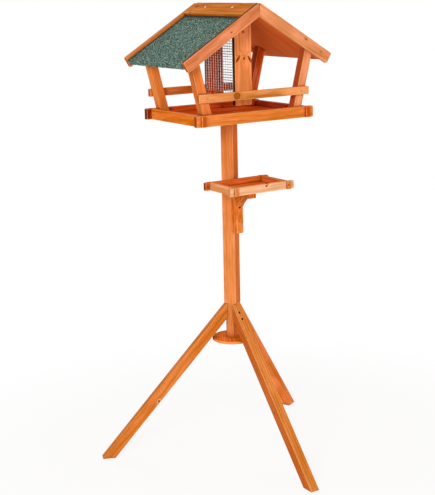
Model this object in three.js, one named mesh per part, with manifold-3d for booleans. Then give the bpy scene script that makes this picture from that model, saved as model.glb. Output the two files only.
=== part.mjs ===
// Garden bird table: a two-tray wooden feeding station on a three-legged stand.
// Millimetres, +Z up. The gable front faces -Y and the ridge runs along Y.

import * as THREE from 'three';
import { mergeGeometries, mergeVertices } from 'three/addons/utils/BufferGeometryUtils.js';
import Module from 'manifold-3d';

const wasm = await Module();
wasm.setup();

const degree = Math.PI / 180;

// Clearances shared by every piece
const seatGap = 0.3;
const cutOverrun = 4;

// Stand post: a square lath, turned against the house
const postSide = 31.5;
const postLength = 550.9;
const postTurn = 35 * degree;
const squareCorner = 45 * degree;

// Legs: three laths screwed to flats milled on the foot of the post
const legWidth = 22.5;
const legDepth = 25;
const legTopHeight = 382.9;
const legFlatRadius = 15.5;
const legToeReach = 343.2;
const legToeHeight = 1.5;
const postBelowLegTops = 88.6;
const frontLegTurn = 269 * degree;
const leftLegTurn = 158 * degree;
const rearLegTurn = 28.5 * degree;
const legAngles = { leg_front: frontLegTurn, leg_left: leftLegTurn, leg_rear: rearLegTurn };

// Screws of the legs and of the bracket
const screwShankRadius = 1.7;
const screwHeadRadius = 2.8;
const screwHeadHeight = 2.4;
const screwTipLength = 5;
const screwHoleClearance = 0.3;
const screwSides = 12;
const legScrewDrop = 20.4;
const legScrewPitch = 14;
const legScrewTipRadius = 3.5;
const legScrewSink = 2;

// Round disc under the end of the post
const baseDiscRadius = 52;
const baseDiscThickness = 7;
const baseDiscEdge = 1;
const baseDiscSides = 48;

// Corbel bracket that carries the small tray
const bracketWidth = 19;
const bracketSaddle = 4.9;
const bracketPlateDepth = 24;
const bracketArmReach = 97;
const bracketArmDepth = 21;
const bracketDrop = 116;
const bracketCurveReach = 34;
const bracketCurveDrop = 30;
const bracketCurveShare = 0.3;
const bracketEdge = 2;
const bracketCurveSteps = 10;
const bracketScrewLow = 23;
const bracketScrewHigh = 64.5;
const bracketScrewTip = 4;

// Small feeding tray in front of the post
const smallTrayWidth = 160.5;
const smallTrayDepth = 114.5;
const smallTrayClearance = 7.6;
const smallTraySideShift = 4;
const smallTrayDrop = 144.3;
const smallBoardHeight = 19;
const smallBoardThickness = 10;
const smallStubAcross = 11.5;
const smallStubAlong = 4.5;
const smallFloorThickness = 5;

// Main tray
const trayWidth = 308;
const trayDepth = 238;
const boardHeight = 26;
const boardThickness = 12.5;
const stubAcross = 11.7;
const stubAlong = 4.5;
const floorThickness = 5.5;
const headPlateWidth = 90;
const headPlateThickness = 7;
const stubCorner = 1.5;

// House: leaning corner posts and the perch rails outside them
const cornerPostWidth = 22;
const cornerPostDepth = 21.5;
const cornerPostInset = 4.5;
const cornerPostLean = 14.2 * degree;
const railOverhang = 3.7;
const railHeight = 19;
const railThickness = 8.5;
const railRise = 47.5;
const railCorner = 2;

// Silo between the gable boards
const siloBoardWidth = 47.2;
const siloBoardThickness = 12;
const siloLength = 132.6;
const siloFeedGap = 22.7;
const meshLift = 33;
const meshWire = 1.2;
const meshRows = 24;
const meshColumns = 9;

// Roof: two sloping halves, the right one hinged at the ridge
const roofSlope = 31.1 * degree;
const houseHeight = 248.5;
const gableOverhang = 17.7;
const eaveOverhang = 42.4;
const bargeWidth = 26.6;
const bargeThickness = 10;
const bargeCorner = 3;
const bargeNotchReach = 5;
const bargeNotchDepth = 7;
const bargeRise = 8;
const feltThickness = 2.2;
const panelThickness = 8;
const ridgeBoardWidth = 46;
const ridgeEdge = 1;
const ridgeSlit = 0.4;
const flapRest = 0.5;

// Two butt hinges between the halves: leaves plumb, knuckles in the ridge groove
const hingeLength = 42;
const hingeSpread = 168;
const hingeDrop = 2.2;
const hingeBarrelRadius = 1.6;
const hingeRoom = 0.4;
const hingePinRadius = 0.8;
const hingePinClearance = 0.08;
const hingeLeafThickness = 0.9;
const hingeLeafHeight = 16.5;
const hingeKnuckleGap = 0.4;
const hingeKnuckleShare = 0.36;
const hingeSides = 24;

// Heights from the ground up, each carried by the one before
const postFootHeight = legTopHeight - postBelowLegTops;
const postTop = postFootHeight + postLength;
const trayBottom = postTop + seatGap;
const trayTop = trayBottom + boardHeight;
const floorBottom = trayBottom + headPlateThickness + seatGap;
const floorTop = floorBottom + floorThickness;
const smallTrayTop = trayBottom - smallTrayDrop;
const smallTrayBottom = smallTrayTop - smallBoardHeight;
const bracketTop = smallTrayBottom - seatGap;
const bracketBottom = bracketTop - bracketDrop;
const siloBoardBottom = floorTop + siloFeedGap;
const meshBottom = siloBoardBottom + meshLift;
const railTop = trayTop + railRise;
const roofApex = trayTop + houseHeight;

// Places in front of the post, counted from the corner that points forward
const postCornerReach = (postSide / Math.SQRT2) * Math.cos(squareCorner - postTurn);
const smallTrayBack = postCornerReach + smallTrayClearance;
const bracketBack = postCornerReach - bracketSaddle;
const bracketPlateReach = bracketBack + bracketPlateDepth;

// Layers of the roof, measured square to its slope from the barges' top line
const slopeTan = Math.tan(roofSlope);
const slopeCos = Math.cos(roofSlope);
const panelTopDepth = bargeRise + feltThickness + seatGap;
const panelUnderDepth = panelTopDepth + panelThickness;

// The leaning posts stand inside the tray, and the rails and eaves reach past them
const leanTan = Math.tan(cornerPostLean);
const cornerPostFoot = floorTop + seatGap;
const cornerPostFootReach = trayWidth / 2 - boardThickness - cornerPostInset;
const cornerPostOuter = trayDepth / 2 - boardThickness - seatGap;
const railLength = 2 * (leaningReach(0, railTop) + railOverhang);
const bargeLength = leaningTop(0, seatGap).x / slopeCos + eaveOverhang;
const roofDepth = trayDepth + 2 * gableOverhang;
const roofInnerLength = roofDepth - 2 * bargeThickness - 2 * seatGap;

// Height of the panels' underside above a point x from the middle, less a gap
function underRoof(x, gap) {
  return roofApex - (panelUnderDepth + gap) / slopeCos - Math.abs(x) * slopeTan;
}

// How far out a leaning line is at a height; inset moves it towards the middle
function leaningReach(inset, height) {
  return cornerPostFootReach - inset + (height - cornerPostFoot) * leanTan;
}

// Where that line meets the underside of the roof
function leaningTop(inset, gap) {
  const x = leaningReach(inset, underRoof(0, gap)) / (1 + leanTan * slopeTan);
  return point(x, underRoof(x, gap));
}

// Stained pine, granule felt and galvanised wire
const woodColours = ['#dd8448', '#d97b3e', '#e08a50', '#cf7236'];
let woodCount = 0;

function wood() {
  const color = woodColours[woodCount % woodColours.length];
  woodCount += 1;
  return new THREE.MeshStandardMaterial({ color, roughness: 0.6, metalness: 0 });
}

function steel() {
  return new THREE.MeshStandardMaterial({ color: '#b9bcbd', roughness: 0.35, metalness: 1 });
}

function felt() {
  return new THREE.MeshStandardMaterial({ color: '#5f7f70', roughness: 0.95, metalness: 0 });
}

function named(name, geometry, material) {
  const mesh = new THREE.Mesh(geometry, material);
  mesh.name = name;
  return mesh;
}

// A closed outline becomes a slab. The two letters say which world axes the outline uses.
function slab(outline, thickness, plane, curveSegments = 6) {
  const shape = Array.isArray(outline) ? new THREE.Shape(outline) : outline;
  const geometry = new THREE.ExtrudeGeometry(shape, {
    depth: thickness,
    bevelEnabled: false,
    curveSegments,
  });
  geometry.translate(0, 0, -thickness / 2);
  if (plane !== 'xy') {
    geometry.rotateX(Math.PI / 2);
  }
  if (plane === 'yz') {
    geometry.rotateZ(Math.PI / 2);
  }
  return geometry;
}

function point(x, y) {
  return new THREE.Vector2(x, y);
}

// Outline from corners [x, y, radius]; a radius of zero leaves the corner sharp.
function roundedOutline(corners) {
  const shape = new THREE.Shape();
  const count = corners.length;
  corners.forEach(([x, y, radius], index) => {
    const here = point(x, y);
    const before = corners[(index + count - 1) % count];
    const after = corners[(index + 1) % count];
    const inward = point(before[0], before[1]).sub(here).normalize().multiplyScalar(radius);
    const outward = point(after[0], after[1]).sub(here).normalize().multiplyScalar(radius);
    const start = here.clone().add(inward);
    const end = here.clone().add(outward);
    if (index === 0) {
      shape.moveTo(start.x, start.y);
    } else {
      shape.lineTo(start.x, start.y);
    }
    if (radius > 0) {
      shape.quadraticCurveTo(x, y, end.x, end.y);
    }
  });
  return shape;
}

function toManifold(geometry) {
  const bare = geometry.clone();
  bare.deleteAttribute('normal');
  bare.deleteAttribute('uv');
  const merged = mergeVertices(bare);
  const mesh = new wasm.Mesh({
    numProp: 3,
    vertProperties: new Float32Array(merged.attributes.position.array),
    triVerts: new Uint32Array(merged.index.array),
  });
  return new wasm.Manifold(mesh);
}

function toGeometry(manifold) {
  const mesh = manifold.getMesh();
  const geometry = new THREE.BufferGeometry();
  geometry.setAttribute('position', new THREE.BufferAttribute(mesh.vertProperties, 3));
  geometry.setIndex(new THREE.BufferAttribute(mesh.triVerts, 1));
  const flat = geometry.toNonIndexed();
  flat.computeVertexNormals();
  return flat;
}

function cutAway(geometry, cutters) {
  let body = toManifold(geometry);
  cutters.forEach((cutter) => {
    body = body.subtract(toManifold(cutter));
  });
  return toGeometry(body);
}

// Screw along +X: the tip is at x = 0 and the flat head at the far end.
function screw(length) {
  const profile = [
    point(0, 0),
    point(screwShankRadius, screwTipLength),
    point(screwShankRadius, length - screwHeadHeight),
    point(screwHeadRadius, length),
    point(0, length),
  ];
  const geometry = new THREE.LatheGeometry(profile, screwSides);
  geometry.rotateZ(-Math.PI / 2);
  return geometry;
}

// The hole that the same screw sits in, with its head sunk below the surface by extra.
function screwHole(length, extra) {
  const clearance = screwHoleClearance;
  const shank = screwShankRadius + clearance;
  const head = screwHeadRadius + clearance;
  const profile = [
    point(0, -clearance),
    point(shank, screwTipLength - clearance),
    point(shank, length - screwHeadHeight),
    point(head, length - clearance),
    point(head, length + extra + cutOverrun),
    point(0, length + extra + cutOverrun),
  ];
  const geometry = new THREE.LatheGeometry(profile, screwSides);
  geometry.rotateZ(-Math.PI / 2);
  return geometry;
}

// Leg outline in its own upright plane: x is the distance from the post's axis.
const legSeat = legFlatRadius + seatGap;
const legLean = Math.atan2(legToeReach - legSeat, legTopHeight - legToeHeight);
const legSeatBottom = legTopHeight - legDepth / Math.sin(legLean);
const legHeel = legToeReach + legToeHeight * Math.tan(legLean) - legDepth / Math.cos(legLean);

// Screws come in pairs, named from the top
const screwLevels = ['upper', 'lower'];

function legScrews() {
  return [0, 1].map((index) => {
    const height = legTopHeight - legScrewDrop - index * legScrewPitch;
    const face = legSeat + (legTopHeight - height) * Math.tan(legLean);
    const sunk = screwHeadRadius * Math.tan(legLean) + legScrewSink;
    return { height, start: legScrewTipRadius, length: face - sunk - legScrewTipRadius, sunk };
  });
}

function placeRadial(geometry, place, angle) {
  geometry.translate(place.start, 0, place.height);
  geometry.rotateZ(angle);
  return geometry;
}

function makeStand() {
  const group = new THREE.Group();

  const half = postSide / 2;
  const square = [point(-half, -half), point(half, -half), point(half, half), point(-half, half)];
  const post = slab(square, postTop - postFootHeight, 'xy');
  post.rotateZ(postTurn);
  post.translate(0, 0, (postTop + postFootHeight) / 2);

  // One flat per leg, from the foot of the post up to the top of the leg
  const cutters = Object.values(legAngles).map((angle) => {
    const height = legTopHeight - postFootHeight + cutOverrun;
    const flat = new THREE.BoxGeometry(postSide, 2 * postSide, height);
    flat.translate(legFlatRadius + postSide / 2, 0, legTopHeight - height / 2);
    flat.rotateZ(angle);
    return flat;
  });
  Object.values(legAngles).forEach((angle) => {
    legScrews().forEach((place) => {
      cutters.push(placeRadial(screwHole(place.length, place.sunk), place, angle));
    });
  });
  bracketScrewPlaces().forEach((place) => {
    cutters.push(placeForward(screwHole(place.length, 0), place));
  });
  group.add(named('stand_post', cutAway(post, cutters), wood()));

  const outline = [
    point(legSeat, legSeatBottom),
    point(legHeel, 0),
    point(legToeReach, 0),
    point(legToeReach, legToeHeight),
    point(legSeat, legTopHeight),
  ];
  Object.entries(legAngles).forEach(([name, angle]) => {
    const leg = slab(outline, legWidth, 'xz');
    leg.rotateZ(angle);
    const holes = legScrews().map((place) => (
      placeRadial(screwHole(place.length, place.sunk), place, angle)));
    group.add(named(name, cutAway(leg, holes), wood()));
  });

  Object.entries(legAngles).forEach(([name, angle]) => {
    legScrews().forEach((place, index) => {
      const geometry = placeRadial(screw(place.length), place, angle);
      group.add(named(`${name}_screw_${screwLevels[index]}`, geometry, steel()));
    });
  });

  // The disc lies against the foot of the post, its rim just clear of the legs
  const top = postFootHeight - seatGap;
  const bottom = top - baseDiscThickness;
  const radius = baseDiscRadius;
  const discProfile = [
    point(0, bottom),
    point(radius - baseDiscEdge, bottom),
    point(radius, bottom + baseDiscEdge),
    point(radius, top - baseDiscEdge),
    point(radius - baseDiscEdge, top),
    point(0, top),
  ];
  const disc = new THREE.LatheGeometry(discProfile, baseDiscSides);
  disc.rotateX(Math.PI / 2);
  group.add(named('base_disc', disc, wood()));
  return group;
}

// The bracket's screws run along Y into the post's front corner.
function bracketScrewPlaces() {
  return [bracketScrewHigh, bracketScrewLow].map((rise) => ({
    height: bracketBottom + rise,
    start: bracketScrewTip,
    length: bracketPlateReach - bracketScrewTip,
  }));
}

function placeForward(geometry, place) {
  return placeRadial(geometry, place, -Math.PI / 2);
}

function makeBracket() {
  const group = new THREE.Group();
  const armBottom = bracketTop - bracketArmDepth;
  const curveEnd = bracketPlateReach + bracketCurveReach;
  const shape = new THREE.Shape();
  shape.moveTo(-bracketBack, bracketTop);
  shape.lineTo(-bracketArmReach, bracketTop);
  shape.lineTo(-bracketArmReach, armBottom);
  shape.lineTo(-curveEnd, armBottom);

  // A shallow hollow: its control point lies between the chord's middle and the inner corner
  const pull = (1 - bracketCurveShare) / 2;
  const controlY = -bracketPlateReach - bracketCurveReach * pull;
  const controlZ = armBottom - bracketCurveDrop * pull;
  shape.quadraticCurveTo(controlY, controlZ, -bracketPlateReach, armBottom - bracketCurveDrop);
  shape.lineTo(-bracketPlateReach, bracketBottom + bracketEdge);
  shape.lineTo(-bracketPlateReach + bracketEdge, bracketBottom);
  shape.lineTo(-bracketBack, bracketBottom);
  const body = slab(shape, bracketWidth, 'yz', bracketCurveSteps);

  const side = postSide + 2 * seatGap;
  const post = new THREE.BoxGeometry(side, side, bracketDrop + 2 * cutOverrun);
  post.rotateZ(postTurn);
  post.translate(0, 0, (bracketTop + bracketBottom) / 2);
  const holes = bracketScrewPlaces().map((place) => placeForward(screwHole(place.length, 0), place));
  group.add(named('bracket', cutAway(body, [post, ...holes]), wood()));

  bracketScrewPlaces().forEach((place, index) => {
    const geometry = placeForward(screw(place.length), place);
    group.add(named(`bracket_screw_${screwLevels[index]}`, geometry, steel()));
  });
  return group;
}

// Board of a tray whose ends cross the neighbouring boards in halved joints.
// The notches open downwards or upwards, and each lies inside a stub at the end.
function halvedBoard(span, stub, thickness, height, openUp) {
  const end = span / 2 + stub;
  const notchOuter = span / 2 + seatGap;
  const notchInner = span / 2 - thickness - seatGap;
  const middle = height / 2;
  const meet = openUp ? middle - seatGap / 2 : middle + seatGap / 2;
  const near = openUp ? height : 0;
  const far = openUp ? 0 : height;
  const corners = [
    [-end, far, stubCorner], [end, far, stubCorner], [end, near, stubCorner],
    [notchOuter, near, 0], [notchOuter, meet, 0], [notchInner, meet, 0], [notchInner, near, 0],
    [-notchInner, near, 0], [-notchInner, meet, 0], [-notchOuter, meet, 0], [-notchOuter, near, 0],
    [-end, near, stubCorner],
  ];
  return roundedOutline(openUp ? corners : corners.reverse());
}

function makeTray(names, size) {
  const group = new THREE.Group();
  const { width, depth, bottom, height, thickness, across, along } = size;
  const longOutline = halvedBoard(width, across, thickness, height, false);
  const shortOutline = halvedBoard(depth, along, thickness, height, true);
  const offsetY = depth / 2 - thickness / 2;
  const offsetX = width / 2 - thickness / 2;
  const boards = [
    [names.front, longOutline, 'xz', 0, -offsetY],
    [names.rear, longOutline, 'xz', 0, offsetY],
    [names.left, shortOutline, 'yz', -offsetX, 0],
    [names.right, shortOutline, 'yz', offsetX, 0],
  ];
  boards.forEach(([name, outline, plane, x, y]) => {
    const board = named(name, slab(outline, thickness, plane, 3), wood());
    board.position.set(x, y, bottom);
    group.add(board);
  });
  const inside = thickness + seatGap;
  const floor = new THREE.BoxGeometry(width - 2 * inside, depth - 2 * inside, size.floorThickness);
  floor.translate(0, 0, size.floorBottom + size.floorThickness / 2);
  group.add(named(names.floor, floor, wood()));
  return group;
}

function makeSmallTray() {
  const tray = makeTray({
    front: 'small_tray_front_board',
    rear: 'small_tray_rear_board',
    left: 'small_tray_left_board',
    right: 'small_tray_right_board',
    floor: 'small_tray_floor',
  }, {
    width: smallTrayWidth,
    depth: smallTrayDepth,
    bottom: smallTrayBottom,
    height: smallBoardHeight,
    thickness: smallBoardThickness,
    across: smallStubAcross,
    along: smallStubAlong,
    floorThickness: smallFloorThickness,
    floorBottom: smallTrayBottom,
  });
  tray.position.set(-smallTraySideShift, -smallTrayBack - smallTrayDepth / 2, 0);
  return tray;
}

function makeMainTray() {
  const tray = makeTray({
    front: 'tray_front_board',
    rear: 'tray_rear_board',
    left: 'tray_left_board',
    right: 'tray_right_board',
    floor: 'tray_floor',
  }, {
    width: trayWidth,
    depth: trayDepth,
    bottom: trayBottom,
    height: boardHeight,
    thickness: boardThickness,
    across: stubAcross,
    along: stubAlong,
    floorThickness,
    floorBottom,
  });
  const plate = new THREE.BoxGeometry(headPlateWidth, headPlateWidth, headPlateThickness);
  plate.translate(0, 0, trayBottom + headPlateThickness / 2);
  tray.add(named('head_plate', plate, wood()));
  return tray;
}

function makeCornerPosts() {
  const group = new THREE.Group();
  const width = cornerPostWidth / Math.cos(cornerPostLean);
  const sides = { left: -1, right: 1 };
  const ends = { front: -1, rear: 1 };
  Object.entries(sides).forEach(([sideName, side]) => {
    const gap = side > 0 ? flapRest : seatGap;
    const outline = [
      point(cornerPostFootReach - width, cornerPostFoot),
      point(cornerPostFootReach, cornerPostFoot),
      leaningTop(0, gap),
      leaningTop(width, gap),
    ];
    outline.forEach((corner) => {
      corner.x *= side;
    });
    Object.entries(ends).forEach(([endName, end]) => {
      const post = slab(outline, cornerPostDepth, 'xz');
      post.translate(0, end * (cornerPostOuter - cornerPostDepth / 2), 0);
      group.add(named(`corner_post_${endName}_${sideName}`, post, wood()));
    });
  });
  return group;
}

function makeRails() {
  const group = new THREE.Group();
  const half = railLength / 2;
  const bottom = railTop - railHeight;
  const outline = roundedOutline([
    [-half, bottom, railCorner], [half, bottom, railCorner],
    [half, railTop, railCorner], [-half, railTop, railCorner],
  ]);
  Object.entries({ front: -1, rear: 1 }).forEach(([name, end]) => {
    const rail = slab(outline, railThickness, 'xz', 3);
    rail.translate(0, end * (cornerPostOuter + seatGap + railThickness / 2), 0);
    group.add(named(`rail_${name}`, rail, wood()));
  });
  return group;
}

function makeSilo() {
  const group = new THREE.Group();
  const half = siloBoardWidth / 2;
  const outline = [
    point(-half, siloBoardBottom),
    point(half, siloBoardBottom),
    point(half, underRoof(half, flapRest)),
    point(0, underRoof(0, flapRest)),
    point(-half, underRoof(half, seatGap)),
  ];
  Object.entries({ front: -1, rear: 1 }).forEach(([name, end]) => {
    const board = slab(outline, siloBoardThickness, 'xz');
    board.translate(0, end * (siloLength - siloBoardThickness) / 2, 0);
    group.add(named(`silo_board_${name}`, board, wood()));
  });

  // Welded mesh: rows and columns of openings between straight wires
  const meshX = half + seatGap + meshWire / 2;
  const meshTop = underRoof(meshX + meshWire / 2, flapRest);
  const meshHeight = meshTop - meshBottom;
  const pitchY = (siloLength - meshWire) / meshColumns;
  const pitchZ = (meshHeight - meshWire) / meshRows;
  const openings = [];
  for (let column = 0; column < meshColumns; column += 1) {
    for (let row = 0; row < meshRows; row += 1) {
      const opening = new THREE.BoxGeometry(meshWire + 2 * cutOverrun, pitchY - meshWire, pitchZ - meshWire);
      const y = (meshWire - siloLength + pitchY) / 2 + column * pitchY;
      const z = meshBottom + (meshWire + pitchZ) / 2 + row * pitchZ;
      opening.translate(0, y, z);
      openings.push(opening);
    }
  }
  const sheet = new THREE.BoxGeometry(meshWire, siloLength, meshHeight);
  sheet.translate(0, 0, meshBottom + meshHeight / 2);
  const net = cutAway(sheet, [mergeGeometries(openings)]);
  Object.entries({ left: -1, right: 1 }).forEach(([name, side]) => {
    const panel = named(`silo_mesh_${name}`, net, steel());
    panel.position.x = side * meshX;
    group.add(panel);
  });
  return group;
}

// Where the plumb plane of the ridge lies at a depth below the barges' top line
function plumb(depth) {
  return depth * slopeTan + ridgeSlit / slopeCos;
}

function bargeOutline() {
  return roundedOutline([
    [plumb(bargeWidth), -bargeWidth, 0],
    [bargeLength, -bargeWidth, bargeCorner],
    [bargeLength, 0, bargeCorner],
    [bargeNotchReach, 0, 0],
    [plumb(bargeNotchDepth), -bargeNotchDepth, 0],
  ]);
}

// Hinges, drawn closed and plumb: x goes to the leaf's own side and the axis is x = z = 0.
const hingeLeafStart = seatGap / 2;
const hingePlaces = { front: -hingeSpread / 2, rear: hingeSpread / 2 };

function barrel(radius, length) {
  return new THREE.CylinderGeometry(radius, radius, length, hingeSides);
}

function leafPlate(length) {
  const plate = new THREE.BoxGeometry(hingeLeafThickness, length, hingeLeafHeight);
  plate.translate(hingeLeafStart + hingeLeafThickness / 2, 0, -hingeLeafHeight / 2);
  return plate;
}

// The flap's leaf has the middle knuckle, the fixed leaf the two outer ones.
function hingeLeaf(isFlap) {
  const middle = hingeLength * hingeKnuckleShare;
  const outer = (hingeLength - middle) / 2 - hingeKnuckleGap;
  const shift = (hingeLength - outer) / 2;
  const knuckles = isFlap ? [[0, middle]] : [[-shift, outer], [shift, outer]];
  const long = hingeLength + 2 * cutOverrun;
  const room = toManifold(barrel(hingeBarrelRadius + hingeKnuckleGap, long));
  let leaf = toManifold(leafPlate(hingeLength)).subtract(room);
  knuckles.forEach(([y, length]) => {
    const round = barrel(hingeBarrelRadius, length);
    const plate = leafPlate(length);
    round.translate(0, y, 0);
    plate.translate(0, y, 0);
    leaf = leaf.add(toManifold(round)).add(toManifold(plate));
  });
  return toGeometry(leaf.subtract(toManifold(barrel(hingePinRadius + hingePinClearance, long))));
}

// Pockets for the leaves in the mitred edge of a half, turned into that half's frame
function hingePockets() {
  return Object.values(hingePlaces).map((y) => {
    const reach = hingeLeafStart + hingeLeafThickness + seatGap;
    const width = reach + cutOverrun;
    const height = hingeLeafHeight + seatGap + cutOverrun;
    const pocket = new THREE.BoxGeometry(width, hingeLength + 2 * seatGap, height);
    pocket.translate(reach - width / 2, y, cutOverrun - height / 2 - hingeDrop);
    pocket.rotateY(-roofSlope);
    return pocket;
  });
}

// One half of the roof in its own frame: x runs down the slope from the ridge,
// and z = 0 is the barges' top line. The group is then turned to its side.
function makeRoofHalf(side, isFlap) {
  const group = new THREE.Group();
  const ends = isFlap ? { front: -1, rear: 1 } : { front: 1, rear: -1 };

  Object.entries(ends).forEach(([name, end]) => {
    const barge = slab(bargeOutline(), bargeThickness, 'xz', 4);
    barge.translate(0, end * (roofDepth - bargeThickness) / 2, 0);
    group.add(named(`barge_${name}_${side}`, barge, wood()));
  });

  const pockets = hingePockets();
  const panelEnd = bargeLength - feltThickness - seatGap;
  const panel = slab([
    point(plumb(panelUnderDepth), -panelUnderDepth),
    point(panelEnd, -panelUnderDepth),
    point(panelEnd, -panelTopDepth),
    point(plumb(panelTopDepth), -panelTopDepth),
  ], roofInnerLength, 'xz');
  group.add(named(`roof_panel_${side}`, cutAway(panel, pockets), wood()));

  // The felt lies on the panel and folds down over its eave edge
  const feltUnder = bargeRise + feltThickness;
  const sheet = slab([
    point(plumb(feltUnder), -feltUnder),
    point(panelEnd + seatGap, -feltUnder),
    point(panelEnd + seatGap, -panelUnderDepth),
    point(bargeLength, -panelUnderDepth),
    point(bargeLength, -bargeRise),
    point(plumb(bargeRise), -bargeRise),
  ], roofInnerLength, 'xz');
  group.add(named(`roof_felt_${side}`, cutAway(sheet, pockets), felt()));

  // The ridge board's upper edge is plumb and stands clear of the knuckles
  const boardStart = (hingeBarrelRadius + hingeRoom) / slopeCos;
  const boardEnd = boardStart + ridgeBoardWidth;
  const boardUnder = bargeRise - seatGap;
  const ridgeOutline = roundedOutline([
    [boardStart + boardUnder * slopeTan, -boardUnder, 0],
    [boardEnd, -boardUnder, 0],
    [boardEnd, 0, ridgeEdge],
    [boardStart, 0, 0],
  ]);
  const ridge = slab(ridgeOutline, roofInnerLength, 'xz', 3);
  group.add(named(`ridge_board_${side}`, ridge, wood()));
  group.rotation.y = roofSlope;

  const half = new THREE.Group();
  half.add(group);
  Object.entries(ends).forEach(([name, end]) => {
    const leaf = named(`hinge_${name}_leaf_${side}`, hingeLeaf(isFlap), steel());
    leaf.position.set(0, end * hingeSpread / 2, -hingeDrop);
    half.add(leaf);
  });
  half.rotation.z = isFlap ? 0 : Math.PI;
  half.position.z = roofApex;
  return half;
}

function makeHingePins() {
  const group = new THREE.Group();
  Object.entries(hingePlaces).forEach(([name, y]) => {
    const pin = named(`hinge_${name}_pin`, barrel(hingePinRadius, hingeLength), steel());
    pin.position.y = y;
    group.add(pin);
  });
  group.position.z = roofApex - hingeDrop;
  return group;
}

// The finished bird table, moved so that the middle of its footprint is the origin
const table = new THREE.Group();
table.add(makeStand());
table.add(makeBracket());
table.add(makeSmallTray());
table.add(makeMainTray());
table.add(makeCornerPosts());
table.add(makeRails());
table.add(makeSilo());
table.add(makeRoofHalf('right', true));
table.add(makeRoofHalf('left', false));
table.add(makeHingePins());
table.updateMatrixWorld(true);
const bounds = new THREE.Box3().setFromObject(table, true);
const centre = bounds.getCenter(new THREE.Vector3());
table.position.set(-centre.x, -centre.y, 0);

const birdTable = new THREE.Group();
birdTable.add(table);

export default birdTable;
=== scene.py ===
import math
import bpy
import numpy as np
from mathutils import Matrix, Vector


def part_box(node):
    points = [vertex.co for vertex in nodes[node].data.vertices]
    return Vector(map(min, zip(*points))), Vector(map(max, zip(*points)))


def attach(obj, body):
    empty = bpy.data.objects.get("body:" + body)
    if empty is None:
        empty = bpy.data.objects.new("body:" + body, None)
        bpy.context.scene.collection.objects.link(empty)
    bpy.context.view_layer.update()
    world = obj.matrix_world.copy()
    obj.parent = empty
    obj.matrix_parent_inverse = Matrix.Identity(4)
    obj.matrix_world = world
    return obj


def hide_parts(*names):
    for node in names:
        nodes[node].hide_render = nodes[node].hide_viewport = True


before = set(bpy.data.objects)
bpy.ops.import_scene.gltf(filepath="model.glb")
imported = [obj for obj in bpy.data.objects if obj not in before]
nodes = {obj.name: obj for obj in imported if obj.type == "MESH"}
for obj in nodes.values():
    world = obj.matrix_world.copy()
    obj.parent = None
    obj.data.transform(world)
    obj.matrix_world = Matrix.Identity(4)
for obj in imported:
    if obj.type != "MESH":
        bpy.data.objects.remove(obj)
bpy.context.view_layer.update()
mm = 0.001
# The post stands in the middle of the house
postMiddle = (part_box("stand_post")[0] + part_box("stand_post")[1]) / 2
alongX, alongY, alongZ = (1, 0, 0), (0, 1, 0), (0, 0, 1)
# The angles that the house and its stand are built to
slope = math.radians(31.1)        # roof boards, from level
cornerLean = math.radians(14.2)   # corner posts, from upright
postTurn = math.radians(35)       # the way through the post, from +X
legLean = math.radians(40.6)      # legs, from upright
legTurns = {"leg_front": math.radians(269), "leg_left": math.radians(158), "leg_rear": math.radians(28.5)}
print("frame loaded:", len(nodes), "pieces")


# The way down the roof and the way straight off it: sign is -1 on the left and 1 on the right.
def downRoof(sign):
    return (sign * math.cos(slope), 0, -math.sin(slope))


def offRoof(sign):
    return (sign * math.sin(slope), 0, math.cos(slope))


# The way that a leg's broad side faces.
def besideLeg(leg):
    return (-math.sin(legTurns[leg]), math.cos(legTurns[leg]), 0)


# An sRGB hex colour becomes the linear colour that the shaders work in.
def hexColour(text):
    parts = [int(text[i:i + 2], 16) / 255 for i in (1, 3, 5)]
    linear = [c / 12.92 if c <= 0.04045 else ((c + 0.055) / 1.055) ** 2.4 for c in parts]
    return (*linear, 1.0)


# Adds one node: stops are for a ramp, settings are its options, inputs are values or links.
def addNode(tree, kind, inputs=None, stops=None, **settings):
    node = tree.nodes.new(kind)
    for name, value in settings.items():
        setattr(node, name, value)
    for key, value in (inputs or {}).items():
        if isinstance(value, bpy.types.NodeSocket):
            tree.links.new(value, node.inputs[key])
        else:
            node.inputs[key].default_value = value
    if stops:
        marks = node.color_ramp.elements
        while len(marks) < len(stops):
            marks.new(0.5)
        for mark, (place, colour) in zip(marks, stops):
            mark.position = place
            mark.color = hexColour(colour)
    return node


# Lays one coat over another: none of it where the value is at start, its whole share at full.
# The mix takes the share as its input 0 and the two colours as 6 and 7.
def layOver(tree, under, over, value, start, full, share=1.0, **settings):
    cover = addNode(tree, "ShaderNodeMapRange", {
        "Value": value, "From Min": start, "From Max": full, "To Max": share}, **settings)
    coat = addNode(tree, "ShaderNodeMix", {0: cover.outputs[0], 6: under, 7: over}, data_type="RGBA")
    return coat.outputs[2]


def newMaterial(name):
    material = bpy.data.materials.new(name)
    material.use_nodes = True
    material.node_tree.nodes.clear()
    return material, material.node_tree


def finishMaterial(tree, surface):
    addNode(tree, "ShaderNodeOutputMaterial", {"Surface": surface.outputs[0]})


def setMaterial(piece, material):
    piece.data.materials.clear()
    piece.data.materials.append(material)


# A knot's colours from its rim to its heart, and how softly its rim fades
soundKnot = ([(0.0, "#a8540f"), (0.3, "#a8540f"), (0.6, "#8e440e"), (1.0, "#6c2e08")], 0.32)
barkRingKnot = ([(0.0, "#7c3a0c"), (0.22, "#7c3a0c"), (0.36, "#b0601c"), (1.0, "#9c4a10")], 0.14)
cutTwigKnot = ([(0.0, "#f2b07a"), (0.3, "#f2b07a"), (0.5, "#c26426"), (1.0, "#9a4816")], 0.2)

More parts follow.
